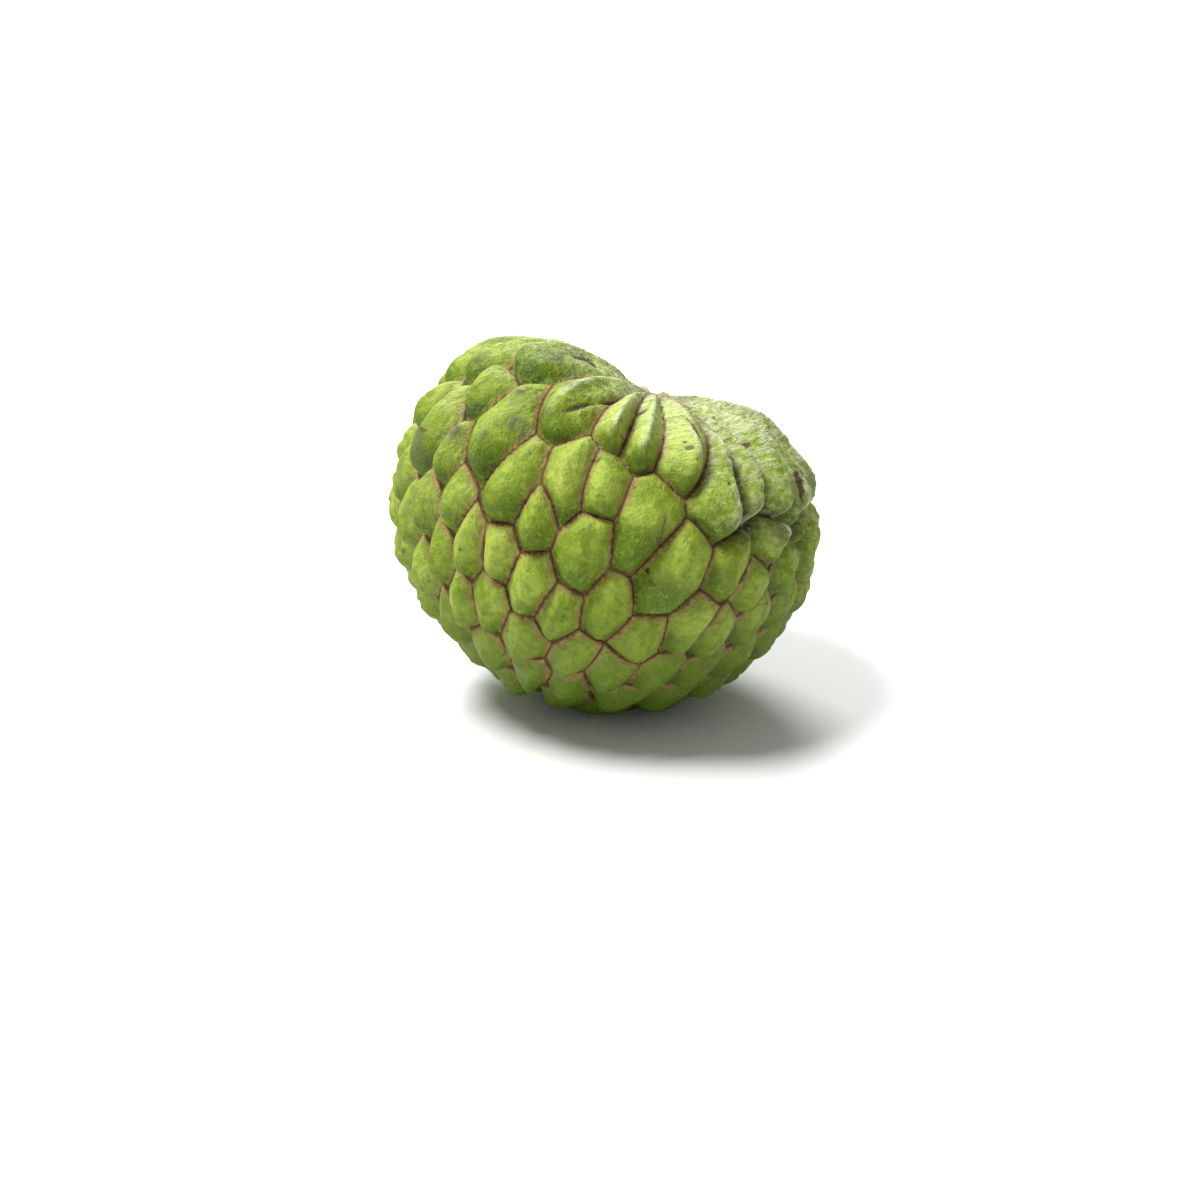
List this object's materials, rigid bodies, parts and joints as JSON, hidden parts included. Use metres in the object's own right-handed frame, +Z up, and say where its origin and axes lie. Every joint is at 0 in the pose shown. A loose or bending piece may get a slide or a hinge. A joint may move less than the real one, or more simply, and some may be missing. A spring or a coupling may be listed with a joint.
{
  "type": "custard apple",
  "caption": "Whole custard apple fruit with a skin of rounded, fused carpels, lying tilted on a small flat spot.",
  "frame": {"origin": "centre of the fruit's footprint, on the surface that it rests on", "axes": "+Z up from the resting surface, +X to the right of the side seen from the front, the way the stem end leans, +Y to the back"},
  "size_m": [0.0972, 0.0932, 0.0857],
  "materials": {
    "skin": "satin, slightly waxy, with thin brown grooves between the carpels"
  },
  "bodies": {
    "root": {"fruit": "skin"}
  },
  "joints": []
}
